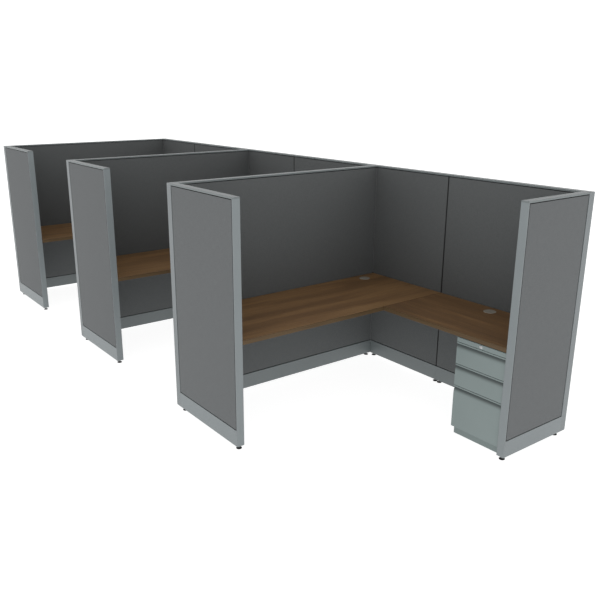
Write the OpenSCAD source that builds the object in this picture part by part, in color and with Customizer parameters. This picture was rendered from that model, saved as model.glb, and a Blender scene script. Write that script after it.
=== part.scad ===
// A run of three joined office cubicles: panels on one shared spine wall,
// L-shaped worksurfaces and a pedestal of three drawers in each station.
// The run stands on the floor at z = 0. Its length lies along x, its stations open towards -y,
// and the origin is on the floor at the middle of its outline.

/* [Panels] */
// Height of the panels above the floor
panel_h = 1651; // [1400:1:1900]
// Thickness of the panels over their trims
panel_t = 55; // [52:1:70]
// Width of the wing at the front of each divider and of the spine panel beside the divider's other end.
// The main worksurface lines up with both.
narrow_w = 762; // [690:1:840]
// Width of the spine panel behind each return worksurface
wide_w = 1066.8; // [960:0.1:1170]
// Width of the dividers between the stations
divider_w = 1828.8; // [1600:0.1:2000]
// Width of the short panel that closes the run, and depth of the return worksurfaces
end_w = 609.6; // [590:0.1:680]

/* [Panel trims] */
// Height of the lip of the top caps
cap_h = 11.4; // [8:0.1:16]
// Height of the upper edge of the base covers
base_top = 138; // [120:1:160]
// Height of the lower edge of the base covers
base_bottom = 24; // [20:1:30]
// Dark gap that is left round each tile
reveal = 5; // [3.4:0.1:6]
// Thickness of a tile, board and fabric together
tile_t = 13; // [10:0.5:16]
// How far the tiles lie behind the face of the trims
tile_recess = 1.5; // [0.5:0.1:3]
// Radius of the front edges of a tile
tile_r = 2; // [1.5:0.1:4]
// Lip of the trim that closes a free panel end
trim_lip = 5; // [4:0.1:8]

/* [Worksurfaces] */
// Height of the worksurfaces above the floor
desk_h = 749; // [730:1:775]
// Thickness of the worksurfaces
desk_t = 30; // [25:1:36]
// Thickness of the band on the edges of the worksurfaces
band_t = 2; // [1:0.1:3]
// Radius of the grommet holes
grommet_r = 40; // [36:0.5:42]
// Distance of the corner grommet from the divider
corner_grommet_x = 95; // [70:1:120]
// Distance of the corner grommet from the spine
corner_grommet_y = 183; // [120:1:240]
// Distance of the return grommet from the spine
return_grommet_y = 91; // [70:1:120]

/* [Pedestals] */
// Width of a pedestal
ped_w = 381; // [350:1:420]
// Depth of a pedestal, drawer fronts included
ped_d = 572; // [560:1:576]
// Height of the rail with the lock, over the drawers
lock_rail_h = 32; // [28:0.1:60]
// Height of the lower edge of the lowest drawer front
ped_bottom = 73.7; // [66:0.1:80]
// Height of the front of a box drawer and of the gap above it
box_pitch = 152.4; // [145:0.1:156]
// Thickness of the drawer fronts
front_t = 20; // [19:0.5:24]
// Length of the drawer slides
slide_l = 500; // [450:1:530]

/* [Hidden] */
stations = 3;
pull_steps = 10;
edge_steps = 4;

station_names = [for (k = [1 : stations]) str(k)];
fixed_nodes = [
  "spine_frames", "divider_frames", "wing_frames",
  "spine_tiles", "divider_tiles", "wing_tiles",
  "spine_top_caps", "divider_top_caps", "wing_top_caps",
  "spine_base_covers", "divider_base_covers", "wing_base_covers",
  "post_tubes", "corner_post_covers", "tee_post_covers", "post_caps", "end_trims",
  "levelling_glides", "main_worksurfaces", "return_worksurfaces", "edge_bands",
  "cantilever_brackets", "joining_plates", "grommet_liners",
  "pedestal_plinths", "pedestal_spacers", "case_slides"
];
station_nodes = [
  "pedestal_case_", "lock_core_", "upper_tray_", "upper_front_", "lower_tray_", "lower_front_",
  "file_tray_", "file_front_", "file_slides_", "corner_grommet_cap_", "return_grommet_cap_"
];

// Turns about the vertical
to_front = -90;
about = 180;

// Clearances and sheet thicknesses
fit_gap = 0.3;
frame_gap = 0.4;
cap_seam = 0.4;
overrun = 5;
cap_wall = 1.8;
cap_edge_r = 2;
cap_leg = 1.2;
sheet = 1.5;

// The run as a whole
station_w = narrow_w + wide_w;
pitch = station_w + panel_t;
run_l = stations * pitch + panel_t;
run_d = divider_w + 2 * panel_t;
spine_y = run_d / 2 - panel_t / 2;
spine_face = run_d / 2 - panel_t;
wing_y = -run_d / 2 + panel_t / 2;
station_x = [for (k = [0 : stations - 1]) -run_l / 2 + k * pitch];
last_x = -run_l / 2 + stations * pitch;

// Each panel: x and y of the middle of its first end, its turn, its width, and 1 if its far end is free
spine_panels = [for (x = station_x) each [
  [x + panel_t, spine_y, 0, narrow_w, 0],
  [x + panel_t + narrow_w, spine_y, 0, wide_w, 0]
]];
divider_panels = [for (x = station_x) [x + panel_t / 2, spine_face, to_front, divider_w, 0]];
wing_panels = concat(
  [for (x = station_x) [x + panel_t, wing_y, 0, narrow_w, 1]],
  [[last_x + panel_t / 2, spine_face, to_front, end_w, 1]]
);
all_panels = concat(spine_panels, divider_panels, wing_panels);

// Each corner post: x and y of its middle, and the turn that points its covers outwards
corner_posts = concat(
  [for (x = station_x) [x + panel_t / 2, wing_y, 0]],
  [[station_x[0] + panel_t / 2, spine_y, to_front], [last_x + panel_t / 2, spine_y, about]]
);
tee_posts = [for (k = [1 : stations - 1]) [station_x[k] + panel_t / 2, spine_y, about]];
all_posts = concat(corner_posts, tee_posts);

// Panel frames
upright_w = 42;
frame_t = panel_t - 2 * (tile_t + tile_recess);
rail_h = 30;
foot_plate_t = 4;
frame_top = panel_h - cap_wall;
rail_count = 4;
lowest_rail = base_top - rail_h / 2;
rail_pitch = (frame_top - rail_h - lowest_rail) / (rail_count - 1);

// Tiles, caps, covers and posts
tile_bottom = base_top + reveal;
tile_top = panel_h - cap_h - reveal;
base_flange_short = 4;
post_lip = 6;
post_tube_w = panel_t - 2 * (sheet + fit_gap);
post_tube_wall = 2.5;

// Levelling glides
glide_r = 19;
glide_foot_h = 9;
glide_neck_r = 8;
glide_edge_r = 2;
nut_r = 11;
nut_h = 6;
stem_r = 5;
stem_up = 22;

// Worksurfaces and their brackets
desk_gap = 1.5;
joint_gap = 0.4;
desk_bottom = desk_h - desk_t;
main_l = divider_w - 2 * desk_gap;
main_d = narrow_w - desk_gap - joint_gap / 2;
return_l = wide_w - desk_gap - joint_gap / 2;
return_d = end_w - desk_gap;
return_grommet_x = narrow_w + wide_w / 2;
bracket_t = 2.5;
bracket_l = 450;
bracket_h = 130;
bracket_tip_h = 28;
bracket_flange = 38;
bracket_hole_r = 3.5;
bracket_hole_inset = 60;
lightening_r = 16;
plate_l = 120;
plate_w = 60;
plate_t = 3;
plate_hole_r = 3;
plate_hole_inset = 12;

// Grommets
flange_rise = 2.5;
flange_w = 4.5;
flange_r = grommet_r + flange_w;
sleeve_wall = 2.2;
sleeve_r = grommet_r - fit_gap;
sleeve_drop = 26;
ledge_w = 3;
ledge_t = 2;
disc_t = 4;
disc_r = sleeve_r - sleeve_wall - fit_gap;
notch_w = 16;
notch_d = 12;

// Pedestals
ped_side_gap = 7;
ped_setback = 10;
front_gap = 3;
front_back_gap = 0.5;
front_flange = 24;
case_front = front_t + front_back_gap;
case_inner_w = ped_w - 2 * sheet;
toe_setback = 35;
plinth_bottom = 11;
ped_glide_r = 12;
ped_glide_h = 7;
ped_glide_inset = 62;
spacer_r = 12;
spacer_h = 8;
spacer_inset = 70;
lip_h = 9;
scoop_h = 40;
scoop_d = 15;
bend_r = scoop_h / sin(2 * atan(scoop_d / scoop_h));
front_edge_r = 2;
ped_top = desk_bottom - spacer_h;
rail_bottom = ped_top - lock_rail_h;
upper_bottom = rail_bottom - box_pitch;
lower_bottom = upper_bottom - box_pitch;
file_bottom = ped_bottom;
file_pitch = lower_bottom - file_bottom;
lock_z = (rail_bottom + ped_top) / 2;

// Drawer slides and trays
slide_w = 12.7;
slide_h = 45;
slide_wall = 1.2;
slide_lip = 2.5;
slide_setback = 3;
weld_lap = 0.3;
middle_x = slide_wall + fit_gap;
middle_h = slide_h - 2 * (slide_wall + slide_lip + fit_gap);
inner_x = middle_x + middle_x;
inner_h = middle_h - 2 * (slide_wall + slide_lip + fit_gap);
tray_w = case_inner_w - 2 * slide_w;
tray_past_slide = 15;
tray_l = slide_l + tray_past_slide;
tray_wall = 1.2;
hem_w = 6;
hem_h = 8;
tray_rise = 12;
box_tray_space = 56.4;
box_tray_h = box_pitch - box_tray_space;
file_tray_space = 33.4;
file_tray_h = file_pitch - file_tray_space;
box_slide_rise = 45;
file_slide_rise = 130;

// Locks
lock_r = 9;
lock_clear = 0.1;
bezel_r = 11.5;
bezel_t = 2;
lock_l = 34;
key_w = 1.6;
key_l = 10;
key_depth = 1.2;
cam_l = 22;
cam_w = 12;
cam_t = 2.5;

silver = [0.60, 0.63, 0.63];
felt = [0.42, 0.43, 0.44];
steel = [0.45, 0.46, 0.47];
walnut = [0.42, 0.30, 0.20];
walnut_edge = [0.50, 0.36, 0.22];
pale_plastic = [0.62, 0.62, 0.60];
black = [0.08, 0.08, 0.08];
bright = [0.80, 0.80, 0.80];

module along_x(l) rotate([90, 0, 90]) linear_extrude(height = l) children();
module along_y(l) translate([0, l, 0]) rotate([90, 0, 0]) linear_extrude(height = l) children();
module place(p) translate([p[0], p[1], 0]) rotate([0, 0, p[2]]) children();
module both_faces() {
  children();
  mirror([0, 1, 0]) children();
}
module at_station(k) translate([station_x[k] + panel_t, spine_face, 0]) children();
module at_pedestal(k)
  at_station(k) translate([station_w - ped_side_gap - ped_w, ped_setback - end_w, 0]) children();

// Points of an arc round (x, y) from angle a to angle b
function arc(x, y, r, a, b, steps) =
  [for (i = [0 : steps]) let (t = a + (b - a) * i / steps) [x + r * cos(t), y + r * sin(t)]];

// Outline of a slab from 0 to t and from low to high, with its two corners at t rounded
function slab(t, low, high, r) = concat(
  [[0, high], [0, low]],
  arc(t - r, low + r, r, -90, 0, edge_steps),
  arc(t - r, high - r, r, 0, 90, edge_steps)
);
function swapped(points) = [for (p = points) [p[1], p[0]]];

// Last x of what lies inside a free end trim, or beside the next panel
function frame_end(p) = p[3] - (p[4] == 1 ? sheet : frame_gap);
function tile_end(p) = p[3] - reveal - (p[4] == 1 ? trim_lip : 0);
function cap_end(p) = p[3] - (p[4] == 1 ? 0 : cap_seam / 2);

module upright() {
  translate([0, -frame_t / 2, base_bottom]) linear_extrude(height = frame_top - base_bottom)
    difference() {
      square([upright_w, frame_t]);
      translate([sheet, sheet]) square([upright_w - 2 * sheet, frame_t - 2 * sheet]);
    }
  translate([0, -frame_t / 2, base_bottom]) difference() {
    cube([upright_w, frame_t, foot_plate_t]);
    translate([upright_w / 2, frame_t / 2, -overrun])
      cylinder(r = stem_r + fit_gap, h = foot_plate_t + 2 * overrun, $fn = 32);
  }
}

module rail_section() difference() {
  translate([-frame_t / 2, 0]) square([frame_t, rail_h]);
  translate([sheet - frame_t / 2, -overrun]) square([frame_t - 2 * sheet, rail_h + overrun - sheet]);
}

module panel_frame(p) {
  color(steel) {
    translate([frame_gap, 0, 0]) upright();
    translate([frame_end(p) - upright_w, 0, 0]) upright();
    for (i = [0 : rail_count - 1])
      translate([frame_gap + upright_w, 0, lowest_rail + i * rail_pitch])
        along_x(frame_end(p) - frame_gap - 2 * upright_w) rail_section();
  }
}

module panel_tiles(p) color(felt) both_faces() translate([0, frame_t / 2, 0]) intersection() {
  translate([reveal, 0, 0]) along_x(tile_end(p) - reveal)
    polygon(slab(tile_t, tile_bottom, tile_top, tile_r));
  translate([0, 0, tile_bottom]) linear_extrude(height = tile_top - tile_bottom)
    polygon(swapped(slab(tile_t, reveal, tile_end(p), tile_r)));
}

module cap_outline() polygon(concat(
  [[-panel_t / 2, 0], [panel_t / 2, 0]],
  arc(panel_t / 2 - cap_edge_r, cap_h - cap_edge_r, cap_edge_r, 0, 90, edge_steps),
  arc(cap_edge_r - panel_t / 2, cap_h - cap_edge_r, cap_edge_r, 90, 180, edge_steps)
));

module cap_section() {
  difference() {
    cap_outline();
    translate([cap_wall - panel_t / 2, -overrun])
      square([panel_t - 2 * cap_wall, cap_h + overrun - cap_wall]);
  }
  for (side = [-1, 1])
    translate([side * (frame_t / 2 + fit_gap + cap_leg / 2) - cap_leg / 2, 0])
      square([cap_leg, cap_h - cap_wall / 2]);
}

module panel_cap(p) color(silver) translate([0, 0, panel_h - cap_h]) {
  translate([cap_seam / 2, 0, 0]) along_x(cap_end(p) - cap_seam / 2) cap_section();
  if (p[4] == 1) translate([cap_end(p) - sheet, 0, 0]) along_x(sheet) cap_outline();
}

module base_cover_section() translate([frame_t / 2, 0]) difference() {
  polygon(slab(tile_t + tile_recess, base_bottom, base_top, sheet));
  translate([-overrun, base_bottom + sheet])
    square([overrun + tile_t + tile_recess - sheet, base_top - base_bottom - 2 * sheet]);
  translate([-overrun, base_bottom - overrun]) square([overrun + base_flange_short, sheet + 2 * overrun]);
}

module panel_base_covers(p) color(silver) both_faces()
  translate([cap_seam, 0, 0]) along_x(p[3] - 2 * cap_seam - (p[4] == 1 ? trim_lip : 0)) base_cover_section();

module panel_end_trim(p) color(silver) translate([p[3], 0, base_bottom])
  linear_extrude(height = panel_h - cap_h - base_bottom) {
    translate([-sheet, -panel_t / 2]) square([sheet, panel_t]);
    for (side = [-1, 1])
      translate([-trim_lip, side * (panel_t / 2 - sheet / 2) - sheet / 2]) square([trim_lip, sheet]);
  }

module post_tube() color(steel) translate([0, 0, base_bottom])
  linear_extrude(height = frame_top - base_bottom) difference() {
    square(post_tube_w, center = true);
    square(post_tube_w - 2 * post_tube_wall, center = true);
  }

// One face of a post cover, with a lip turned in at each edge
module post_cover_face() {
  translate([-panel_t / 2, -panel_t / 2]) square([panel_t, sheet]);
  for (side = [-1, 1])
    translate([side * (panel_t / 2 - sheet / 2) - sheet / 2, -panel_t / 2]) square([sheet, post_lip]);
}

module post_cover(faces) color(silver) translate([0, 0, base_bottom])
  linear_extrude(height = panel_h - cap_h - base_bottom)
    for (i = [0 : faces - 1]) rotate([0, 0, to_front * i]) post_cover_face();

module post_cap() color(silver) translate([0, 0, panel_h - cap_h]) difference() {
  intersection() {
    translate([-panel_t / 2, 0, 0]) along_x(panel_t) cap_outline();
    translate([0, -panel_t / 2, 0]) along_y(panel_t) cap_outline();
  }
  translate([cap_wall - panel_t / 2, cap_wall - panel_t / 2, -overrun])
    cube([panel_t - 2 * cap_wall, panel_t - 2 * cap_wall, cap_h + overrun - cap_wall]);
}

module glide(foot_r, foot_h, seat, top) color(black) {
  rotate_extrude($fn = 40) {
    polygon(concat(
      [[0, 0]],
      arc(foot_r - glide_edge_r, glide_edge_r, glide_edge_r, -90, 0, edge_steps),
      [[foot_r, foot_h / 2], [glide_neck_r, foot_h], [glide_neck_r, seat - nut_h], [0, seat - nut_h]]
    ));
    square([stem_r, top]);
  }
  translate([0, 0, seat - nut_h]) cylinder(r = nut_r, h = nut_h, $fn = 6);
}

module levelling_glides() {
  for (p = all_panels) place(p)
    for (x = [frame_gap + upright_w / 2, frame_end(p) - upright_w / 2])
      translate([x, 0, 0]) glide(glide_r, glide_foot_h, base_bottom, base_bottom + stem_up);
  for (k = [0 : stations - 1]) at_pedestal(k)
    for (x = [ped_glide_inset, ped_w - ped_glide_inset])
      for (y = [toe_setback + ped_glide_inset, ped_d - ped_glide_inset])
        translate([x, y, 0]) glide(ped_glide_r, ped_glide_h, ped_bottom, ped_bottom);
}

module surface_blank(x, y, l, d, inset)
  translate([x + inset, y - d + inset, 0]) square([l - 2 * inset, d - 2 * inset]);

module main_blank(inset) surface_blank(desk_gap, -desk_gap, main_d, main_l, inset);
module return_blank(inset) surface_blank(narrow_w + joint_gap / 2, -desk_gap, return_l, return_d, inset);

module grommet_hole(x, y) translate([x, -y, desk_bottom - overrun])
  cylinder(r = grommet_r, h = desk_t + 2 * overrun, $fn = 64);

module main_worksurface() color(walnut) difference() {
  translate([0, 0, desk_bottom]) linear_extrude(height = desk_t) main_blank(band_t);
  grommet_hole(corner_grommet_x, corner_grommet_y);
}

module return_worksurface() color(walnut) difference() {
  translate([0, 0, desk_bottom]) linear_extrude(height = desk_t) return_blank(band_t);
  grommet_hole(return_grommet_x, return_grommet_y);
}

module station_edge_bands() color(walnut_edge) translate([0, 0, desk_bottom]) {
  linear_extrude(height = desk_t) difference() {
    main_blank(0);
    main_blank(band_t);
  }
  linear_extrude(height = desk_t) difference() {
    return_blank(0);
    return_blank(band_t);
  }
}

// A bracket that hooks into the reveal of a panel end at the origin and reaches along +y.
// Its flange is folded to the side given.
module cantilever(side) color(steel) translate([0, 0, desk_bottom - bracket_h]) {
  translate([-bracket_t / 2, 0, 0]) rotate([90, 0, 90]) linear_extrude(height = bracket_t) difference() {
    polygon([
      [-tile_t - tile_recess, 0], [-tile_t - tile_recess, bracket_h], [bracket_l, bracket_h],
      [bracket_l, bracket_h - bracket_tip_h], [bracket_flange, 0]
    ]);
    for (i = [1 : 3])
      translate([i * bracket_l / 5, bracket_h - bracket_tip_h - lightening_r / i])
        circle(r = lightening_r / i + lightening_r / 2, $fn = 40);
  }
  translate([side > 0 ? -bracket_t / 2 : bracket_t / 2 - bracket_flange, 0, bracket_h - bracket_t])
    difference() {
      cube([bracket_flange, bracket_l, bracket_t]);
      for (y = [bracket_hole_inset, bracket_l / 2, bracket_l - bracket_hole_inset])
        translate([bracket_flange / 2, y, -overrun])
          cylinder(r = bracket_hole_r, h = bracket_t + 2 * overrun, $fn = 24);
    }
}

module station_brackets() {
  translate([0, -reveal / 2, 0]) rotate([0, 0, to_front]) cantilever(1);
  translate([0, reveal / 2 - divider_w, 0]) rotate([0, 0, to_front]) cantilever(-1);
  translate([narrow_w - reveal / 2, 0, 0]) rotate([0, 0, about]) cantilever(-1);
  translate([station_w - reveal / 2, 0, 0]) rotate([0, 0, about]) cantilever(1);
}

module station_joining_plate() color(steel)
  translate([narrow_w - plate_l / 2, ped_setback + plate_w / 2 - end_w, desk_bottom - plate_t]) difference() {
    cube([plate_l, plate_w, plate_t]);
    for (x = [plate_hole_inset, plate_l - plate_hole_inset])
      for (y = [plate_hole_inset, plate_w - plate_hole_inset])
        translate([x, y, -overrun]) cylinder(r = plate_hole_r, h = plate_t + 2 * overrun, $fn = 24);
  }

module grommet_liner() color(pale_plastic) rotate_extrude($fn = 64) polygon([
  [sleeve_r - sleeve_wall - ledge_w, desk_h + flange_rise - disc_t - fit_gap - ledge_t],
  [sleeve_r - sleeve_wall, desk_h - sleeve_drop],
  [sleeve_r, desk_h - sleeve_drop],
  [sleeve_r, desk_h],
  [flange_r, desk_h],
  [flange_r, desk_h + flange_rise / 3],
  [flange_r - flange_rise, desk_h + flange_rise],
  [sleeve_r - sleeve_wall, desk_h + flange_rise],
  [sleeve_r - sleeve_wall, desk_h + flange_rise - disc_t - fit_gap],
  [sleeve_r - sleeve_wall - ledge_w, desk_h + flange_rise - disc_t - fit_gap]
]);

module grommet_cap() color(pale_plastic) translate([0, 0, desk_h + flange_rise - disc_t]) difference() {
  cylinder(r = disc_r, h = disc_t, $fn = 64);
  translate([-notch_w / 2, -disc_r - overrun, -overrun])
    cube([notch_w, notch_d + overrun - notch_w / 2, disc_t + 2 * overrun]);
  translate([0, notch_d - notch_w / 2 - disc_r, -overrun])
    cylinder(r = notch_w / 2, h = disc_t + 2 * overrun, $fn = 40);
}

module at_corner_grommet() translate([corner_grommet_x, -corner_grommet_y, 0]) children();
module at_return_grommet() translate([return_grommet_x, -return_grommet_y, 0]) children();

module station_grommet_liners() {
  at_corner_grommet() grommet_liner();
  at_return_grommet() grommet_liner();
}

// Outline of a drawer front seen from its end, as depth in front of its back and height.
// The pull is a lip along the top. Under it the face bends back in one arc, the scoop for the fingers.
// A wall moves every line inwards by that much.
function front_outline(h, wall) = let (
  face = front_t - wall,
  back = wall > 0 ? -overrun : 0,
  lip_z = h - lip_h + wall,
  bend = bend_r - wall
) concat(
  [[back, wall]],
  arc(face - front_edge_r, wall + front_edge_r, front_edge_r, -90, 0, edge_steps),
  arc(front_t - bend_r, h - lip_h - scoop_h, bend, 0, asin((scoop_h + wall) / bend), pull_steps),
  [[face, lip_z], [face, h - wall], [back, h - wall]]
);

// Turns depth in front of a back plane at y into the frame of the pedestal, whose face lies at y = 0
module facing_front(y) translate([y, 0]) mirror([1, 0]) children();

module drawer_front(bottom, h) color(silver) translate([0, 0, bottom]) {
  along_x(ped_w) facing_front(front_t) difference() {
    polygon(front_outline(h, 0));
    polygon(front_outline(h, sheet));
  }
  for (x = [0, ped_w - sheet])
    translate([x, 0, 0]) along_x(sheet) facing_front(front_t) polygon(front_outline(h, 0));
  for (x = [0, ped_w - front_flange]) translate([x, front_t - sheet, 0]) cube([front_flange, sheet, h]);
}

// Channel of a slide member, w wide and h high, with its web at x = 0 and lips turned in at x = w
module channel(w, h) difference() {
  translate([0, -h / 2]) square([w, h]);
  translate([slide_wall, slide_wall - h / 2]) square([w - 2 * slide_wall, h - 2 * slide_wall]);
  translate([slide_wall, slide_wall + slide_lip - h / 2])
    square([w, h - 2 * slide_wall - 2 * slide_lip]);
}

// The fixed member opens towards the tray. Members nest, each running between the lips of the one outside it.
module outer_member() channel(slide_w - slide_wall, slide_h);
module middle_member() translate([middle_x, 0]) channel(slide_w - slide_wall - middle_x, middle_h);
module tray_member(x, h) translate([slide_w + weld_lap, 0]) mirror([1, 0]) channel(slide_w + weld_lap - x, h);

module both_slides(bottom, rise) translate([0, case_front + slide_setback, bottom + tray_rise + rise]) {
  translate([sheet, 0, 0]) along_y(slide_l) children();
  translate([ped_w - sheet, 0, 0]) mirror([1, 0, 0]) along_y(slide_l) children();
}

module tray_side(h) {
  square([tray_wall, h]);
  translate([0, h - tray_wall]) square([hem_w, tray_wall]);
  translate([hem_w - tray_wall, h - hem_h]) square([tray_wall, hem_h]);
}

module tray_section(h) {
  square([tray_w, tray_wall]);
  tray_side(h);
  translate([tray_w, 0]) mirror([1, 0]) tray_side(h);
}

module tray_shell(bottom, h) translate([(ped_w - tray_w) / 2, front_t, bottom + tray_rise]) {
  along_y(tray_l) tray_section(h);
  for (y = [0, tray_l - tray_wall]) translate([0, y, 0]) along_y(tray_wall) square([tray_w, h]);
}

module box_tray(bottom) color(silver) {
  tray_shell(bottom, box_tray_h);
  both_slides(bottom, box_slide_rise) tray_member(middle_x, middle_h);
}

module file_tray() color(silver) {
  tray_shell(file_bottom, file_tray_h);
  both_slides(file_bottom, file_slide_rise) tray_member(inner_x, inner_h);
}

module file_slides() color(bright) both_slides(file_bottom, file_slide_rise) middle_member();

module station_case_slides() color(bright) {
  both_slides(file_bottom, file_slide_rise) outer_member();
  for (bottom = [lower_bottom, upper_bottom]) both_slides(bottom, box_slide_rise) outer_member();
}

module rail_outline(wall) facing_front(case_front)
  polygon(slab(case_front - wall, rail_bottom + wall, ped_top - wall, front_edge_r));

module pedestal_case() color(silver) difference() {
  union() {
    translate([0, case_front, ped_bottom]) along_y(ped_d - case_front) difference() {
      square([ped_w, ped_top - ped_bottom]);
      translate([sheet, sheet]) square([case_inner_w, ped_top - ped_bottom - 2 * sheet]);
    }
    translate([0, ped_d - sheet, ped_bottom]) cube([ped_w, sheet, ped_top - ped_bottom]);
    along_x(ped_w) difference() {
      rail_outline(0);
      rail_outline(sheet);
    }
    for (x = [0, ped_w - sheet]) translate([x, 0, 0]) along_x(sheet) rail_outline(0);
  }
  translate([ped_w / 2, 0, lock_z]) rotate([90, 0, 0])
    cylinder(r = lock_r + lock_clear, h = 2 * overrun, center = true, $fn = 48);
}

// The plinth carries the sides of the case down, and stands back under the lowest drawer for the toes
module pedestal_plinth() color(silver) translate([0, toe_setback, plinth_bottom])
  linear_extrude(height = ped_bottom - plinth_bottom) difference() {
    square([ped_w, ped_d - toe_setback]);
    translate([sheet, sheet]) square([case_inner_w, ped_d - toe_setback - 2 * sheet]);
  }

module station_spacers() color(black)
  for (x = [spacer_inset, ped_w - spacer_inset], y = [spacer_inset, ped_d - spacer_inset])
    translate([x, y, ped_top]) cylinder(r = spacer_r, h = desk_bottom - ped_top, $fn = 40);

module lock_core() color(bright) translate([ped_w / 2, -fit_gap, lock_z]) difference() {
  union() {
    rotate([90, 0, 0]) rotate_extrude($fn = 48)
      polygon([[0, 0], [bezel_r, 0], [bezel_r, bezel_t / 2], [bezel_r - bezel_t / 2, bezel_t], [0, bezel_t]]);
    rotate([-90, 0, 0]) cylinder(r = lock_r, h = lock_l, $fn = 48);
    translate([-cam_w / 2, lock_l - cam_t, -cam_l]) cube([cam_w, cam_t, cam_l]);
  }
  translate([-key_w / 2, -bezel_t - overrun, -key_l / 2]) cube([key_w, key_depth + overrun, key_l]);
}

for (p = spine_panels) place(p) panel_frame(p);  // spine_frames
for (p = divider_panels) place(p) panel_frame(p);  // divider_frames
for (p = wing_panels) place(p) panel_frame(p);  // wing_frames
for (p = spine_panels) place(p) panel_tiles(p);  // spine_tiles
for (p = divider_panels) place(p) panel_tiles(p);  // divider_tiles
for (p = wing_panels) place(p) panel_tiles(p);  // wing_tiles
for (p = spine_panels) place(p) panel_cap(p);  // spine_top_caps
for (p = divider_panels) place(p) panel_cap(p);  // divider_top_caps
for (p = wing_panels) place(p) panel_cap(p);  // wing_top_caps
for (p = spine_panels) place(p) panel_base_covers(p);  // spine_base_covers
for (p = divider_panels) place(p) panel_base_covers(p);  // divider_base_covers
for (p = wing_panels) place(p) panel_base_covers(p);  // wing_base_covers
for (p = wing_panels) place(p) panel_end_trim(p);  // end_trims
for (p = all_posts) place(p) post_tube();  // post_tubes
for (p = corner_posts) place(p) post_cover(2);  // corner_post_covers
for (p = tee_posts) place(p) post_cover(1);  // tee_post_covers
for (p = all_posts) place(p) post_cap();  // post_caps
levelling_glides();
for (k = [0 : stations - 1]) {
  at_station(k) main_worksurface();  // main_worksurfaces
  at_station(k) return_worksurface();  // return_worksurfaces
  at_station(k) station_edge_bands();  // edge_bands
  at_station(k) station_brackets();  // cantilever_brackets
  at_station(k) station_joining_plate();  // joining_plates
  at_station(k) station_grommet_liners();  // grommet_liners
  at_pedestal(k) pedestal_plinth();  // pedestal_plinths
  at_pedestal(k) station_spacers();  // pedestal_spacers
  at_pedestal(k) station_case_slides();  // case_slides
  at_pedestal(k) pedestal_case();
  at_pedestal(k) lock_core();
  at_pedestal(k) box_tray(upper_bottom);
  at_pedestal(k) box_tray(lower_bottom);
  at_pedestal(k) file_tray();
  at_pedestal(k) file_slides();
  at_pedestal(k) drawer_front(upper_bottom, box_pitch - front_gap);
  at_pedestal(k) drawer_front(lower_bottom, box_pitch - front_gap);
  at_pedestal(k) drawer_front(file_bottom, file_pitch - front_gap);
  at_station(k) at_corner_grommet() grommet_cap();
  at_station(k) at_return_grommet() grommet_cap();
}
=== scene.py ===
"""Looks of a run of three joined office cubicles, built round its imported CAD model.

The run stands on the floor at z = 0. Its length lies along x, and its stations open towards -y.
Lengths are in metres.
"""

import math

import bpy
import numpy as np
from mathutils import Matrix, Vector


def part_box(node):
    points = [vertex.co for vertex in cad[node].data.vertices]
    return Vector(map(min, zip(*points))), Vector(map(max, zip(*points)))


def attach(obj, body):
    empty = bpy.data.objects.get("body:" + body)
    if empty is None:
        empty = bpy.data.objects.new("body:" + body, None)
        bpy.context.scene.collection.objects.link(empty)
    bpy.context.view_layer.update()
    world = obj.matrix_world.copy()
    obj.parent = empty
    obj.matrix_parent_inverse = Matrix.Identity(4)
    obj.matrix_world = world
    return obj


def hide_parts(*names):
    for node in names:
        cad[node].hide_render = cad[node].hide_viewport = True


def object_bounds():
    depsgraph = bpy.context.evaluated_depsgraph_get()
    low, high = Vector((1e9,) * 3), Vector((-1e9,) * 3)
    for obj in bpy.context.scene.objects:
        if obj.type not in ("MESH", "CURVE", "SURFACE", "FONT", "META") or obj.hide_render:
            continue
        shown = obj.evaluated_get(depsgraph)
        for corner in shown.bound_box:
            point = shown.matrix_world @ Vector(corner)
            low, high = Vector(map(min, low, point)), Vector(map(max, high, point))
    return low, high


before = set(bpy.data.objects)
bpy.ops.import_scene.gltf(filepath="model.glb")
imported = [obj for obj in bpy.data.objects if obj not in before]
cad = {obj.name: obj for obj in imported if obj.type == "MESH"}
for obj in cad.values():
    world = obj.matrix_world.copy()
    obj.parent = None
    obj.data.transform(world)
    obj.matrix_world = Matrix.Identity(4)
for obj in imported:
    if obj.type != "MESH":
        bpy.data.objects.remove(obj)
cad_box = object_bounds()
scene = bpy.context.scene

# The viewpoint.
# The camera stands past the closed end of the run, a little above the panels, and looks back along it.
# Its place and turn come from a least-squares fit of the panels' corners to the photograph.
EYE = (5.24859, -3.18588, 2.27429)
HEADING, DOWNWARD, LEAN = (math.radians(angle) for angle in (53.38628, 17.19295, 0.06040))
SENSOR_MM, LENS_MM, CROP = 36.0, 42.6179, (0.02267, 0.00900)

lens = bpy.data.cameras.new("picture_camera")
lens.sensor_width, lens.lens = SENSOR_MM, LENS_MM
lens.shift_x, lens.shift_y = CROP
camera = bpy.data.objects.new("picture_camera", lens)
camera.matrix_world = (
    Matrix.Translation(EYE)
    @ Matrix.Rotation(HEADING, 4, "Z")
    @ Matrix.Rotation(math.pi / 2 - DOWNWARD, 4, "X")
    @ Matrix.Rotation(LEAN, 4, "Z")
)
scene.collection.objects.link(camera)
scene.camera = camera

# The studio.
# A white sweep that glows like a light table, with white walls all round and a dimmer ceiling, so the light
# comes evenly from every side and the run stands on white with hardly a shadow.
FLOOR_SPAN, FLOOR_GLOW, FLOOR_TONE = 80.0, 0.92, 0.45
WALL_LIGHT, CEILING_LIGHT, WALL_TOP = 1.17, 0.34, 0.16


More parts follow.
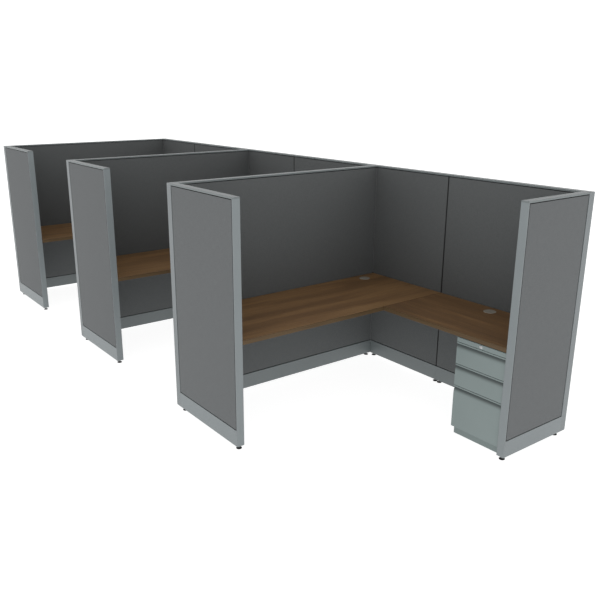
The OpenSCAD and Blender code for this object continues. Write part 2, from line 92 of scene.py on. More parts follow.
class Shade:
    """A socket of a material's tree. Arithmetic on it adds Math nodes, and make() adds any other node."""

    def __init__(self, tree, socket=None):
        self.tree, self.socket = tree, socket

    def make(self, kind, settings=None, sockets=None, out=0):
        """Adds a node, first its settings and then the values or links of its sockets. Returns one output."""
        node = self.tree.nodes.new("ShaderNode" + kind)
        for name, value in (settings or {}).items():
            if name == "stops":
                for _ in range(len(value) - len(node.color_ramp.elements)):
                    node.color_ramp.elements.new(1.0)
                for stop, (place, colour) in zip(node.color_ramp.elements, value):
                    stop.position, stop.color = place, colour
            else:
                setattr(node, name, value)
        for name, value in (sockets or {}).items():
            if isinstance(value, Shade):
                self.tree.links.new(value.socket, node.inputs[name])
            else:
                node.inputs[name].default_value = value
        return Shade(self.tree, node.outputs[out]) if node.outputs else None

    def maths(self, operation, *terms):
        return self.make("Math", {"operation": operation}, dict(enumerate((self, *terms))))

    def __add__(self, other):
        return self.maths("ADD", other)

    def __sub__(self, other):
        return self.maths("SUBTRACT", other)

    def __rsub__(self, other):
        return self.make("Math", {"operation": "SUBTRACT"}, {0: other, 1: self})

    def __mul__(self, other):
        return self.maths("MULTIPLY", other)

    def __gt__(self, other):
        return self.maths("GREATER_THAN", other)

    def __lt__(self, other):
        return self.maths("LESS_THAN", other)

    __radd__, __rmul__ = __add__, __mul__

    def between(self, low, high):
        """0 where this is low, 1 where it is high, and even between them."""
        return self.make("MapRange", None, {"Value": self, "From Min": low, "From Max": high})

    def mix(self, first, second):
        """The first colour where this is 0 and the second where it is 1."""
        return self.make("Mix", {"data_type": "RGBA"}, {0: self, 6: first, 7: second}, out=2)


def new_material(name):
    """An empty material, and the Shade that its tree grows from."""
    material = bpy.data.materials.new(name)
    material.use_nodes = True
    material.node_tree.nodes.clear()
    return material, Shade(material.node_tree)


def finish(tree, sockets):
    """Closes a material's tree with a surface that has these sockets."""
    tree.make("OutputMaterial", None, {"Surface": tree.make("BsdfPrincipled", None, sockets)})


def swatch(red, green, blue):
    """A linear colour from one written as 0 to 255 on a colour card."""
    return (*((np.array([red, green, blue]) / 255 + 0.055) / 1.055) ** 2.4, 1.0)


sweep, tree = new_material("studio_sweep")
glow = tree.make("Emission", None, {"Strength": FLOOR_GLOW})
matte = tree.make("BsdfDiffuse", None, {"Color": (FLOOR_TONE, FLOOR_TONE, FLOOR_TONE, 1.0)})
tree.make("OutputMaterial", None, {"Surface": tree.make("AddShader", None, {0: glow, 1: matte})})
reach = FLOOR_SPAN / 2
floor_mesh = bpy.data.meshes.new("studio_floor")
floor_mesh.from_pydata(
    [(-reach, -reach, 0), (reach, -reach, 0), (reach, reach, 0), (-reach, reach, 0)], [], [(0, 1, 2, 3)]
)
floor_mesh.materials.append(sweep)
floor = bpy.data.objects.new("studio_floor", floor_mesh)
scene.collection.objects.link(floor)

studio = bpy.data.worlds.new("studio")
studio.use_nodes = True
studio.node_tree.nodes.clear()
tree = Shade(studio.node_tree)
rise = tree.make("SeparateXYZ", None, {"Vector": tree.make("TexCoord", out="Generated")}, out="Z")
light = WALL_LIGHT + (CEILING_LIGHT - WALL_LIGHT) * rise.between(WALL_TOP, 1.0)
backdrop = tree.make("Background", None, {"Color": (1.0, 1.0, 1.0, 1.0), "Strength": light})
tree.make("OutputWorld", None, {"Surface": backdrop})
scene.world = studio
scene.view_settings.view_transform = "Standard"

# The panel frames and post tubes.
# Roll-formed steel uprights with rails welded between them, dipped in a dark primer. Only a line of them
# shows, in the gap round each tile, and its near-black tone is partly the primer and partly painted shade.
# The third of these is how dark the painted shade in the pulls' scoops turns the coat.
EDGE_R, CLOUDING, PAINTED_SHADE_TONE = 0.0015, 2, 0.66
ZINC_DULL, ZINC_BRIGHT = (176, 179, 180), (196, 198, 197)


def coated_steel(name, colour, rubbed, roughness, peel=0.00005, painted_shade=None, plated=None):
    """Painted sheet steel. Fine noise gives the coat its orange peel and wide noise a faint cloudiness.
    A bevel's normal that leaves the face's own one finds the edges, which hands rub brighter. An optional
    shade mask darkens the coat where it is 1, as painted shade; plated, if given, makes the mask of bare zinc
    plate."""
    material, tree = new_material(name)
    place = tree.make("TexCoord", out="Object")
    grain = tree.make("TexNoise", None, {"Vector": place, "Scale": 700.0, "Detail": 1.0})
    cloud = tree.make("TexNoise", None, {"Vector": place, "Scale": 2.5, "Detail": 3.0})
    soft = tree.make("Bevel", {"samples": 4}, {"Radius": EDGE_R})
    flat = tree.make("NewGeometry", out="True Normal")
    agree = tree.make("VectorMath", {"operation": "DOT_PRODUCT"}, {0: soft, 1: flat}, out="Value")
    edge = agree.between(0.995, 0.80) * cloud.between(0.35, 0.65)
    darker, lighter = (swatch(*(part + shift for part in colour)) for shift in (-CLOUDING, CLOUDING))
    coat = edge.mix(cloud.between(0.3, 0.7).mix(darker, lighter), swatch(*rubbed))
    # Painted shade: where the mask is 1, the coat turns to its darker tone.
    if painted_shade:
        coat = painted_shade(place).mix(coat, swatch(*(PAINTED_SHADE_TONE * part for part in colour)))
    bare = 0.0
    if plated:
        bare = plated(place)
        coat = bare.mix(coat, cloud.mix(swatch(*ZINC_DULL), swatch(*ZINC_BRIGHT)))
    finish(tree, {
        "Base Color": coat,
        "Metallic": bare,
        "Roughness": roughness + 0.08 * cloud - 0.10 * edge,
        "Normal": tree.make("Bump", None, {"Height": grain, "Distance": peel, "Strength": 0.5, "Normal": soft}),
    })
    return material


def dress(material, *nodes):
    """Puts a material on CAD nodes, whose shapes stay as they are."""
    for node in nodes:
        cad[node].data.materials.clear()
        cad[node].data.materials.append(material)


frame_paint = coated_steel("frame_paint", (24, 25, 26), (52, 54, 55), 0.55, 0.00004)
dress(frame_paint, "spine_frames", "divider_frames", "wing_frames", "post_tubes")

# The fabric tiles.
# A tackable board in a dark steel pan on each face of each panel, wrapped in grey plain-weave cloth that is
# tucked in behind the pan's rolled rim. Clips hold it on the frame, just behind the faces of the trims. The
# cloth inside the stations is the same cloth a tone darker, which is painted shade, and the pan's near-black
# rim round the turn is partly painted shade.
TILE_EDGE, TILE_CORNER, PAN_HEM, SHADE_PAN_STRIPS = 0.002, 0.004, 0.0008, 6
CORNER_STEPS, TURN_STEPS, SHARP_ANGLE = 5, 6, math.radians(50)
SIDE_PLAY, THREAD, SLUBS = 0.005, 0.0016, 22.0


def solid_boxes(node):
    """Lowest and highest corner of each solid of a CAD node, as an array (solids, 2, 3).
    Points that share a triangle pass on the lowest of their labels until every solid has one label."""
    mesh = cad[node].data
    points = np.empty(len(mesh.vertices) * 3)
    mesh.vertices.foreach_get("co", points)
    corners = np.empty(len(mesh.loops), int)
    mesh.loops.foreach_get("vertex_index", corners)
    places, spot = np.unique(points.reshape(-1, 3).round(6), axis=0, return_inverse=True)
    triangles = spot.ravel()[corners].reshape(-1, 3)
    label, lower = None, np.arange(len(places))
    while label is None or (lower != label).any():
        label = lower.copy()
        np.minimum.at(lower, triangles, label[triangles].min(axis=1, keepdims=True))
        lower = lower[lower]
    _, solid = np.unique(label, return_inverse=True)
    low = np.full((solid.max() + 1, 3), np.inf)
    high = -low
    np.minimum.at(low, solid, places)
    np.maximum.at(high, solid, places)
    return np.stack([low, high], axis=1)


def rounded_rectangle(width, height, radius, steps):
    """Arc centres and outward directions round rectangles with rounded corners, counterclockwise.
    A point of the outline is its arc's centre plus the radius times its direction."""
    angles = np.arange(4)[:, None] * math.pi / 2 + np.linspace(0, math.pi / 2, steps + 1)
    outward = np.stack([np.cos(angles.ravel()), np.sin(angles.ravel())], axis=-1)
    quarters = np.repeat([(1, 1), (-1, 1), (-1, -1), (1, -1)], steps + 1, axis=0)
    return quarters * (np.stack([width, height], axis=-1)[:, None] / 2 - radius), outward


def skin(name, grid, closed=False, cloth=None):
    """One mesh from points (copies, rings, points round a ring, 3). Quads join each ring to the next.
    Closed rings meet end to end, and others get a flat face on the first and the last. cloth is its map."""
    copies, rings, around, _ = grid.shape
    index = np.arange(copies * rings * around).reshape(copies, rings, around)
    here, there = (index, np.roll(index, -1, axis=1)) if closed else (index[:, :-1], index[:, 1:])
    sides = [here, np.roll(here, -1, axis=2), np.roll(there, -1, axis=2), there]
    quads = np.stack(sides, axis=-1).reshape(-1, 4)
    ends = [] if closed else [*index[:, 0, ::-1].tolist(), *index[:, -1].tolist()]
    mesh = bpy.data.meshes.new(name)
    mesh.from_pydata(grid.reshape(-1, 3), [], [*quads.tolist(), *ends])
    mesh.polygons.foreach_set("use_smooth", [True] * len(quads) + [False] * len(ends))
    mesh.set_sharp_from_angle(angle=SHARP_ANGLE)
    if cloth is not None:
        corners = np.empty(len(mesh.loops), int)
        mesh.loops.foreach_get("vertex_index", corners)
        mesh.uv_layers.new(name="cloth").data.foreach_set("uv", cloth.reshape(-1, 2)[corners].ravel())
    piece = bpy.data.objects.new(name, mesh)
    scene.collection.objects.link(piece)
    return piece


def fabric_tiles(name, tiles, frames):
    """A tile's outline is a rounded rectangle. It rises from the frame, turns over a small radius onto the
    face and ends flat. The pan's near-black rim reaches well round the turn, and cloth begins there; the rim
    there is partly painted shade, which darkens the reveal line round the tile. Its map is the outline laid
    out flat, so the weave runs round the edges, and starts a metre on for each tile. A tile whose face lies in
    a side of the whole run's box is an outer one."""
    boxes, holders = solid_boxes(tiles), solid_boxes(frames).mean(axis=1)
    middle, size = boxes.mean(axis=1), boxes[:, 1] - boxes[:, 0]
    nearest = np.abs(middle[:, None] - holders).sum(axis=2).argmin(axis=1)
    outward = np.sign((middle - holders[nearest]) * (size < 2 * size.min()))
    up = np.array([0.0, 0.0, 1.0])
    along = np.cross(up, outward)
    width, height, depth = np.abs((size * along).sum(axis=1)), size[:, 2], size.min(axis=1)
    centres, direction = rounded_rectangle(width, height, TILE_CORNER, CORNER_STEPS)
    bend = np.linspace(0, math.pi / 2, TURN_STEPS + 1)
    inset = np.concatenate([[PAN_HEM, 0.0], TILE_EDGE * (1 - np.cos(bend))])
    rise = np.concatenate([[0.0, PAN_HEM], depth[0] - TILE_EDGE * (1 - np.sin(bend))])
    laid = np.append(np.cumsum(np.hypot(np.diff(inset), np.diff(rise))[::-1])[::-1], 0.0)
    flat = centres[:, None] + direction * (TILE_CORNER - inset)[:, None, None]
    cloth = centres[:, None] + direction * (TILE_CORNER - TILE_EDGE + laid)[:, None, None]
    base = middle - outward * depth[:, None] / 2
    grid = (
        base[:, None, None]
        + flat[..., :1] * along[:, None, None]
        + flat[..., 1:] * up
        + rise[:, None, None] * outward[:, None, None]
    )
    piece = skin(name, grid, cloth=cloth + np.arange(len(boxes))[:, None, None, None])
    inside, outside, pan = 0, 1, 2
    for material in (inner_cloth_shaded, outer_cloth, frame_paint):
        piece.data.materials.append(material)
    copies, rings, around, _ = grid.shape
    side = (np.abs(outward) * np.array(cad_box[1])).sum(axis=1)
    cover = np.where((base * outward).sum(axis=1) + depth > side - SIDE_PLAY, outside, inside)
    strips = np.broadcast_to(cover[:, None, None], (copies, rings - 1, around)).copy()
    # The first strips, the pan's side and most of the turn, take the dark frame coat: partly painted shade in
    # the reveal.
    strips[:, :SHADE_PAN_STRIPS] = pan
    piece.data.polygons.foreach_set("material_index", np.concatenate([strips.ravel(), [pan] * copies, cover]))
    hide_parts(tiles)
    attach(piece, "root")


def panel_cloth(name, shaded_gap, dark, light):
    """A plain weave: threads cross over and under in a checkerboard, each one a half sine across. Noise drawn
    out along the threads gives them slubs and a heathered tone."""
    material, tree = new_material(name)
    laid = tree.make("UVMap", {"uv_map": "cloth"})
    warp, weft = (
        tree.make("SeparateXYZ", None, {"Vector": laid}, out=axis) * (1 / THREAD) for axis in ("X", "Y")
    )
    over = (warp.maths("FLOOR") + weft.maths("FLOOR")).maths("PINGPONG", 1.0)
    warp_round, weft_round = ((thread * math.pi).maths("SINE").maths("ABSOLUTE") for thread in (warp, weft))
    height = over * warp_round + (1 - over) * weft_round
    warp_slubs, weft_slubs = (
        tree.make("TexNoise", None, {
            "Vector": tree.make("Mapping", None, {"Vector": laid, "Scale": scale}), "Scale": 1.0, "Detail": 2.0,
        })
        for scale in ((1 / THREAD, SLUBS, 1.0), (SLUBS, 1 / THREAD, 1.0))
    )
    heather = over * warp_slubs + (1 - over) * weft_slubs
    threads = heather.between(0.25, 0.75).mix(swatch(*dark), swatch(*light))
    # Where the weave sinks between threads, the colour goes over to the darker gap tone: painted shade in the
    # weave's low spots.
    finish(tree, {
        "Base Color": height.between(0.0, 0.35).mix(swatch(*shaded_gap), threads),
        "Roughness": 0.95,
        "Specular IOR Level": 0.12,
        "Sheen Weight": 0.04,
        "Sheen Roughness": 0.5,
        "Normal": tree.make("Bump", None, {
            "Height": height + 0.5 * heather, "Distance": 0.00025, "Strength": 0.6,
        }),
    })
    return material


outer_cloth = panel_cloth("outer_cloth", (90, 92, 93), (97, 100, 101), (117, 119, 120))
# The same cloth a tone darker inside the stations: painted shade.
inner_cloth_shaded = panel_cloth("inner_cloth_shaded", (82, 85, 85), (89, 92, 92), (107, 109, 110))
fabric_tiles("spine_fabric", "spine_tiles", "spine_frames")
fabric_tiles("divider_fabric", "divider_tiles", "divider_frames")
fabric_tiles("wing_fabric", "wing_tiles", "wing_frames")

# The light seals.
# Black strips in the seams between tiles and beside the end trims, and grey quarter-round ones in the inner
# corners of the stations, so that nothing shows through; beside the end trims the black is also painted
# shade. Inside the stations they stop where the desks' brackets hook in.
REVEAL, RECESS, SEAM_DEPTH = 0.005, 0.0015, 0.002
SEAL_PLAY, SEAL_REACH, DESK_PLAY = 0.0002, 0.0143, 0.003


def rubber(name, dark, bloomed, gloss=0.5):
    """Rubber with a dusty bloom that comes and goes in patches a centimetre or so across. gloss is how
    much it reflects, against 0.5 for most plastics."""
    material, tree = new_material(name)
    place = tree.make("TexCoord", out="Object")
    bloom = tree.make("TexNoise", None, {"Vector": place, "Scale": 90.0, "Detail": 3.0})
    finish(tree, {
        "Base Color": bloom.between(0.3, 0.8).mix(swatch(*dark), swatch(*bloomed)),
        "Roughness": 0.75 + 0.1 * bloom,
        "Specular IOR Level": gloss,
        "Normal": tree.make("Bump", None, {"Height": bloom, "Distance": 0.0001, "Strength": 0.3}),
    })
    return material


def upright_strips(name, outlines, spans, material):
    """Carries each flat outline (copies, points, 2), counterclockwise from above, up each span of heights."""
    copies, points, _ = outlines.shape
    heights = np.broadcast_to(np.array(spans)[:, :, None, None], (copies, len(spans), 2, points, 1))
    flat = np.broadcast_to(outlines[:, None, None], (copies, len(spans), 2, points, 2))
    strip = skin(name, np.concatenate([flat, heights], axis=4).reshape(-1, 2, points, 3))
    strip.data.materials.append(material)
    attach(strip, "root")


def blocks(left, right, low, high):
    """Rectangles from their sides in x and in y."""
    return np.stack([left, low, right, low, right, high, left, high], axis=-1).reshape(-1, 4, 2)


tiles = solid_boxes("spine_tiles")
tiles = tiles[np.argsort(tiles[:, 0, 0])]
looks_in = tiles[:, 0, 1] < tiles[:, 0, 1].mean()
stations, back = tiles[looks_in], tiles[~looks_in]
bottom, top = tiles[0, :, 2]
under_desk = (bottom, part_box("cantilever_brackets")[0][2] - DESK_PLAY)
above_desk = (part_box("main_worksurfaces")[1][2] + DESK_PLAY, top)

black_seal = rubber("seam_rubber", (17, 17, 18), (30, 30, 31))
for name, row, near, far, spans in (
    ("station_seam_seals", stations, SEAM_DEPTH, 0.0, (under_desk, above_desk)),
    ("back_seam_seals", back, 0.0, -SEAM_DEPTH, ((bottom, top),)),
):
    left, right = row[::2, 1, 0] + SEAL_PLAY, row[1::2, 0, 0] - SEAL_PLAY
    low, high = row[::2, 0, 1] + near, row[::2, 1, 1] + far
    upright_strips(name, blocks(left, right, low, high), spans, black_seal)

# Beside the end trims strips of open foam fill the reveal from the frame out to the trim's face, on both
# sides; their near-black tone, which hardly shines, is painted shade in the reveal. A trim that is wide in x
# closes a panel that runs along y.
trims = solid_boxes("end_trims")
spread = trims[:, 1] - trims[:, 0]
wide_in_x = spread[:, :1] > spread[:, 1:2]
start = np.where(wide_in_x, trims[:, 1, 1:2], trims[:, 0, :1] - REVEAL)
faces = np.where(wide_in_x, trims[:, :, 0], trims[:, :, 1])
along = np.tile(start + (SEAL_PLAY, REVEAL - SEAL_PLAY), (2, 1))
across = np.concatenate([faces[:, :1] + (SEAL_PLAY, SEAL_REACH), faces[:, 1:] - (SEAL_REACH, SEAL_PLAY)])
wide_in_x = np.tile(wide_in_x, (2, 1))
x_sides, y_sides = np.where(wide_in_x, across, along), np.where(wide_in_x, along, across)
# Near-black foam that hardly reflects: painted shade in the reveals beside the end trims.
shade_foam = rubber("reveal_shade_foam", (8, 8, 9), (17, 17, 18), gloss=0.05)
upright_strips("end_reveal_seals", blocks(*x_sides.T, *y_sides.T), ((bottom, top),), shade_foam)

# The section of a corner seal is a quarter disc about the corner in which the two cloth faces would meet.
arc = np.linspace(0, math.pi / 2, TURN_STEPS + 1)
quarter = (REVEAL + RECESS - SEAL_PLAY) * np.vstack([(0, 0), np.stack([np.cos(arc), np.sin(arc)], axis=-1)])
face = stations[0, 0, 1]
left_end, right_end = stations[::2, 0, 0] - REVEAL - RECESS, stations[1::2, 1, 0] + REVEAL + RECESS
grey_seal = rubber("corner_rubber", (86, 88, 89), (100, 102, 103))
for name, ends, y, turned in (
    ("left_corner_seals", left_end, face, quarter[::-1] * (1, -1)),
    ("right_corner_seals", right_end, face, quarter * (-1, -1)),
    ("wing_corner_seals", left_end, -face, quarter),
):
    corners = np.stack([ends, np.full_like(ends, y)], axis=-1)
    upright_strips(name, corners[:, None] + turned, (under_desk, above_desk), grey_seal)

# The trims.
# Top caps, base covers, post covers and end trims of folded steel sheet, in one satin light-grey powder
# coat. The copies a tone darker on the base covers, caps and post covers are painted shade. They clip or
# slide onto the frames, and each post has a moulded cap.
SATIN = 0.38

trim_paint = coated_steel("trim_paint", (127, 134, 136), (155, 159, 159), SATIN)
# A tone darker than the trims: painted shade on the base covers, caps and post covers.
cover_paint_shaded = coated_steel("cover_paint_shaded", (121, 128, 130), (148, 152, 152), SATIN)
cap_paint_shaded = coated_steel("cap_paint_shaded", (113, 120, 121), (139, 144, 143), SATIN)
post_paint_shaded = coated_steel("post_paint_shaded", (118, 124, 126), (144, 148, 148), SATIN)
dress(trim_paint, "end_trims")
dress(cover_paint_shaded, "wing_base_covers")
dress(cap_paint_shaded, "spine_top_caps", "divider_top_caps", "wing_top_caps")
dress(cap_paint_shaded, "spine_base_covers", "divider_base_covers")
dress(post_paint_shaded, "corner_post_covers", "tee_post_covers", "post_caps")

# The levelling glides.
# A moulded nylon foot on a zinc-plated stem, screwed into the plate at the bottom of each upright.
FOOT_TOP = 0.0095

glide_stuff, tree = new_material("glide_nylon")
place = tree.make("TexCoord", out="Object")
metal = tree.make("SeparateXYZ", None, {"Vector": place}, out="Z") > FOOT_TOP
scuffs = tree.make("TexNoise", None, {"Vector": place, "Scale": 140.0, "Detail": 3.0})
nylon = scuffs.between(0.4, 0.8).mix(swatch(13, 13, 14), swatch(36, 36, 37))
finish(tree, {
    "Base Color": metal.mix(nylon, swatch(120, 122, 124)),
    "Metallic": metal,
    "Roughness": 0.5 - 0.15 * metal + 0.1 * scuffs,
    "Normal": tree.make("Bump", None, {"Height": scuffs, "Distance": 0.0001, "Strength": 0.4}),
})
dress(glide_stuff, "levelling_glides")

# The worksurfaces.
# Two boards to each L, butted together: particle board with a walnut-print laminate pressed on top and a
# dark backing sheet under it. The grain runs the length of each board.
BACKING_TOP = 0.7195
FIGURE = ((0.30, (113, 84, 54)), (0.45, (131, 98, 63)), (0.55, (148, 112, 73)), (0.72, (162, 126, 83)))


def walnut(name, turn=0.0, lift=0.0):
    """Walnut with its grain along y, or along x once turned. Noise drawn out along the grain gives the broad
    figure, a finer one the streaks, and a very fine one the pores. lift makes a whole board lighter."""
    material, tree = new_material(name)
    place = tree.make("TexCoord", out="Object")
    grain = tree.make("Mapping", None, {"Vector": place, "Rotation": (0.0, 0.0, turn)})

    def drawn(across, lengthwise, detail, distortion=0.0):
        """Noise with so many features to the metre across the grain and along it."""
        stretched = tree.make("Mapping", None, {"Vector": grain, "Scale": (across, lengthwise, across)})
        return tree.make("TexNoise", None, {
            "Vector": stretched, "Scale": 1.0, "Detail": detail, "Distortion": distortion,
        })

    figure, streak, pore = drawn(9.0, 0.9, 4.0, 0.7), drawn(70.0, 2.2, 3.0, 0.3), drawn(900.0, 24.0, 1.0)
    tone = 0.6 * figure + 0.4 * streak + lift
    stops = [(stop, swatch(*colour)) for stop, colour in FIGURE]
    board = tree.make("ValToRGB", {"stops": stops}, {"Fac": tone})
    pores = pore.between(0.60, 0.75)
    backing = tree.make("SeparateXYZ", None, {"Vector": place}, out="Z") < BACKING_TOP
    finish(tree, {
        "Base Color": backing.mix((0.45 * pores).mix(board, swatch(79, 57, 37)), swatch(46, 41, 38)),
        "Roughness": 0.42 + 0.12 * streak + 0.1 * pores,
        "Normal": tree.make("Bump", None, {"Height": 1 - pores, "Distance": 0.00005, "Strength": 0.5}),
    })
    return material


dress(walnut("walnut_main"), "main_worksurfaces")
dress(walnut("walnut_return", turn=math.pi / 2, lift=-0.07), "return_worksurfaces")

# The edge bands.
# A 2 mm band in a matching walnut, glued round each board's edge and trimmed to a soft arris. It is a small
# rounded section, taken clockwise so that the skin faces outwards, carried round the board's outline. Its
# map is the band laid out flat.
BAND, BAND_ARRIS, BAND_CORNER = 0.002, 0.0009, 0.004

boards = np.concatenate([solid_boxes("main_worksurfaces"), solid_boxes("return_worksurfaces")])
boards[:, 0, :2] -= BAND
boards[:, 1, :2] += BAND
middle, size = boards.mean(axis=1), boards[:, 1] - boards[:, 0]
centres, direction = rounded_rectangle(size[:, 0], size[:, 1], BAND_CORNER, steps=4)
corner, turned = rounded_rectangle(np.array([BAND]), size[:1, 2], BAND_ARRIS, steps=3)
section = (corner + BAND_ARRIS * turned)[0, ::-1]
spread = centres[:, :, None] + direction[:, None] * (BAND_CORNER - BAND / 2 + section[:, 0])[:, None]
rise = np.broadcast_to(section[:, 1], spread.shape[:3])[..., None]
grid = np.concatenate([spread, rise], axis=-1) + middle[:, None, None]
outline = centres + BAND_CORNER * direction
length = np.cumsum(np.linalg.norm(np.diff(outline, axis=1, prepend=outline[:, -1:]), axis=2), axis=1)
depth = np.cumsum(np.linalg.norm(np.diff(section, axis=0, prepend=section[-1:]), axis=1))
banding = np.stack(np.broadcast_arrays(length[:, :, None], depth), axis=-1)
edge_band = skin("walnut_edge_bands", grid, closed=True, cloth=banding)

walnut_band, tree = new_material("walnut_band")
laid = tree.make("UVMap", {"uv_map": "cloth"})
drawn = tree.make("Mapping", None, {"Vector": laid, "Scale": (2.5, 300.0, 1.0)})
streak = tree.make("TexNoise", None, {"Vector": drawn, "Scale": 1.0, "Detail": 3.0})
finish(tree, {
    "Base Color": streak.between(0.3, 0.7).mix(swatch(78, 62, 43), swatch(99, 80, 56)),
    "Roughness": 0.40 + 0.15 * streak,
    "Specular IOR Level": 0.2,
    "Normal": tree.make("Bump", None, {"Height": streak, "Distance": 0.00004, "Strength": 0.4}),
})
edge_band.data.materials.append(walnut_band)
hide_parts("edge_bands")
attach(edge_band, "root")

# The brackets and joining plates.
# Cantilevers cut and folded from thick steel sheet, hooked into the panels' uprights, and flat plates under
# the joint of the two boards. Zinc-plated pan-head screws with a cross recess hold them to the boards.
SCREW_REACH, PLATE_INSET = (0.060, 0.225, 0.390), 0.012
BRACKET_STEEL, HOOK_DEPTH = 0.0025, 0.0145
SCREW_SIDES, SHANK_R, HEAD_R, HEAD_H = 24, 0.0028, 0.0050, 0.0026
CROSS_R, CROSS_DEPTH, CROSS_ARM = 0.0024, 0.0014, math.radians(20)

bracket_paint = coated_steel("bracket_paint", (112, 116, 118), (150, 153, 154), 0.45)
dress(bracket_paint, "cantilever_brackets", "joining_plates")

zinc, tree = new_material("zinc_plate")
place = tree.make("TexCoord", out="Object")
spangle = tree.make("TexVoronoi", None, {"Vector": place, "Scale": 160.0}, out="Color")
drawn = tree.make("Mapping", None, {"Vector": place, "Scale": (600.0, 8.0, 600.0)})
rolled = tree.make("TexNoise", None, {"Vector": drawn, "Scale": 1.0, "Detail": 2.0})
speck = tree.make("SeparateXYZ", None, {"Vector": spangle}, out="X")
finish(tree, {
    "Base Color": speck.mix(swatch(*ZINC_DULL), swatch(*ZINC_BRIGHT)),
    "Metallic": 1.0,
    "Roughness": 0.28 + 0.10 * speck + 0.10 * rolled,
    "Normal": tree.make("Bump", None, {"Height": rolled, "Distance": 0.00003, "Strength": 0.4}),
})


def screws(name, places):
    """A screw under each point, head down: rings of radius and depth round the vertical, up the shank and
    over the domed head. The last two rings draw in to a cross, whose radius is wide near four directions
    and narrow between them. They share the slot of the zinc-plated slides."""
    turn = -np.arange(SCREW_SIDES) * 2 * math.pi / SCREW_SIDES
    to_arm = np.abs((turn + math.pi / 4) % (math.pi / 2) - math.pi / 4)
    cross = np.where(to_arm < CROSS_ARM, CROSS_R, 0.4 * CROSS_R)
    plain = np.array([SHANK_R, SHANK_R, HEAD_R, HEAD_R, 0.88 * HEAD_R, 0.62 * HEAD_R])
    radius = np.vstack([np.tile(plain[:, None], len(turn)), cross, 0.7 * cross])
    dome = [0.0, 0.4 * HEAD_H, 0.82 * HEAD_H, HEAD_H]
    depth = np.array([-BRACKET_STEEL, 0.0, *dome, HEAD_H, HEAD_H - CROSS_DEPTH])[:, None]
    rings = np.stack(np.broadcast_arrays(radius * np.cos(turn), radius * np.sin(turn), -depth), axis=-1)
    piece = skin(name, places[:, None, None] + rings)
    piece.data.materials.append(zinc)
    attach(piece, "root")


boxes = solid_boxes("cantilever_brackets")
low, high, middle = boxes[:, 0], boxes[:, 1], boxes.mean(axis=1)
along_run = (high - low)[:, :1] > (high - low)[:, 1:2]
reach = HOOK_DEPTH + np.array(SCREW_REACH)
spots = np.stack(np.broadcast_arrays(
    np.where(along_run, low[:, :1] + reach, middle[:, :1]),
    np.where(along_run, middle[:, 1:2], high[:, 1:2] - reach),
    high[:, 2:] - BRACKET_STEEL,
), axis=-1)
screws("bracket_screws", spots.reshape(-1, 3))

plates = solid_boxes("joining_plates")
step = np.array([(x, y, 0.0) for x in (PLATE_INSET, -PLATE_INSET) for y in (PLATE_INSET, -PLATE_INSET)])
spots = np.where(step > 0, plates[:, :1], plates[:, 1:]) + step
spots[..., 2] = plates[:, :1, 2]
screws("plate_screws", spots.reshape(-1, 3))

# The grommets.
# A moulded liner pressed into each cable hole, with a lift-out cap notched for the cables, in a warm
# light-grey plastic with a fine spark-eroded texture.
STATIONS = "123"

grommet_plastic, tree = new_material("grommet_plastic")
place = tree.make("TexCoord", out="Object")
spark = tree.make("TexNoise", None, {"Vector": place, "Scale": 1100.0, "Detail": 2.0})
handled = tree.make("TexNoise", None, {"Vector": place, "Scale": 40.0, "Detail": 2.0})
finish(tree, {
    "Base Color": handled.between(0.3, 0.7).mix(swatch(155, 149, 138), swatch(163, 157, 145)),
    "Roughness": 0.48 + 0.1 * handled,
    "Normal": tree.make("Bump", None, {
        "Height": spark, "Distance": 0.00006, "Strength": 0.5,
        "Normal": tree.make("Bevel", {"samples": 4}, {"Radius": 0.0006}),
    }),
})
dress(grommet_plastic, "grommet_liners")
for station in STATIONS:
    dress(grommet_plastic, f"corner_grommet_cap_{station}", f"return_grommet_cap_{station}")

# The pedestals.
# A welded case on a plinth set back for the toes, two box drawers and a file drawer behind folded fronts,
# all powder coated in a grey a touch greener than the trims. The scoops of the pulls carry painted shade,
# darkest under the lips. The slide members on the trays are zinc plated.
PEDESTAL_COAT = (124, 136, 135), (154, 159, 158), 0.40
# The plinth takes the pedestal's coat a tone darker, as painted shade under the fronts.
SHADED_PLINTH_COAT = (114, 126, 125), (141, 146, 145), 0.40
PULL_DEPTH, SLIDE_SPACE = 0.005, 0.0142
DRAWERS = ("upper", "lower", "file")

front_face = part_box("upper_front_1")[0][1]


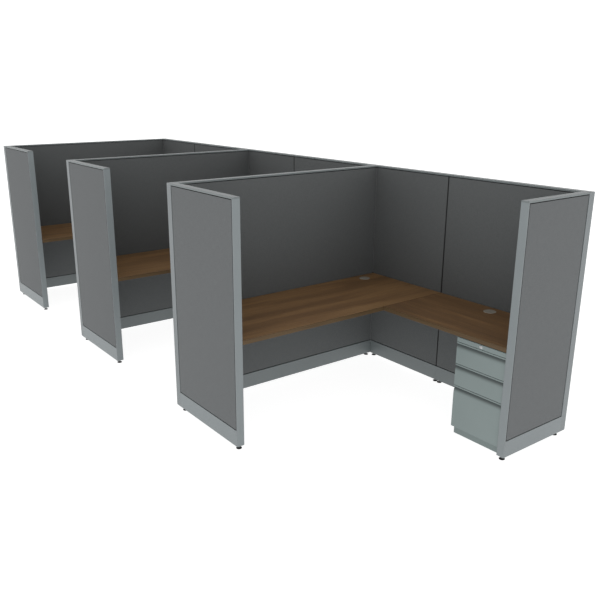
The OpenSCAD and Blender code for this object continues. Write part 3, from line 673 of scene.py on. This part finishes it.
def pull_painted_shade(place):
    """The mask of painted shade in the pulls' scoops: 1 on faces that look outwards from PULL_DEPTH or more
    behind the fronts' plane, fading to 0 at it.
    """
    behind = place.make("SeparateXYZ", None, {"Vector": place}, out="Y")
    facing = place.make("SeparateXYZ", None, {"Vector": place.make("NewGeometry", out="True Normal")}, out="Y")
    return behind.between(front_face, front_face + PULL_DEPTH) * (facing < -0.5)


def tray_paint(station):
    """Paint for a station's trays, whose slide members, standing out from their sides, are zinc plated."""
    low, high = (corner[0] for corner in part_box("pedestal_case_" + station))

    def members(place):
        """1 past the trays' sides, SLIDE_SPACE inside those of the case, and 0 between them."""
        across = place.make("SeparateXYZ", None, {"Vector": place}, out="X") - (low + high) / 2
        return across.maths("ABSOLUTE") > (high - low) / 2 - SLIDE_SPACE

    return coated_steel("tray_paint_" + station, *PEDESTAL_COAT, plated=members)


pedestal_paint = coated_steel("pedestal_paint", *PEDESTAL_COAT)
# The fronts take painted shade in the scoops of their pulls.
front_paint = coated_steel("front_paint", *PEDESTAL_COAT, painted_shade=pull_painted_shade)
for station in STATIONS:
    dress(pedestal_paint, "pedestal_case_" + station)
    dress(tray_paint(station), *(f"{drawer}_tray_{station}" for drawer in DRAWERS))
    dress(front_paint, *(f"{drawer}_front_{station}" for drawer in DRAWERS))
# The plinth's darker coat is painted shade.
dress(coated_steel("plinth_paint_shaded", *SHADED_PLINTH_COAT), "pedestal_plinths")
dress(rubber("spacer_rubber", (26, 26, 27), (44, 44, 45)), "pedestal_spacers")

# The drawer slides.
# Cold-rolled steel channels that nest in one another, zinc plated, with the faint spangle of the bath.
dress(zinc, "case_slides", *(f"file_slides_{station}" for station in STATIONS))

# The locks.
# A turned and polished plug with a bezel and a key slot, in the middle of the rail over the drawers.
lock_chrome, tree = new_material("lock_chrome")
place = tree.make("TexCoord", out="Object")
wipe = tree.make("TexNoise", None, {"Vector": place, "Scale": 120.0, "Detail": 3.0})
finish(tree, {
    "Base Color": wipe.between(0.3, 0.7).mix(swatch(205, 206, 208), swatch(226, 227, 228)),
    "Metallic": 1.0,
    "Roughness": 0.16 + 0.14 * wipe,
    "Normal": tree.make("Bevel", {"samples": 4}, {"Radius": 0.0004}),
})
dress(lock_chrome, *(f"lock_core_{station}" for station in STATIONS))
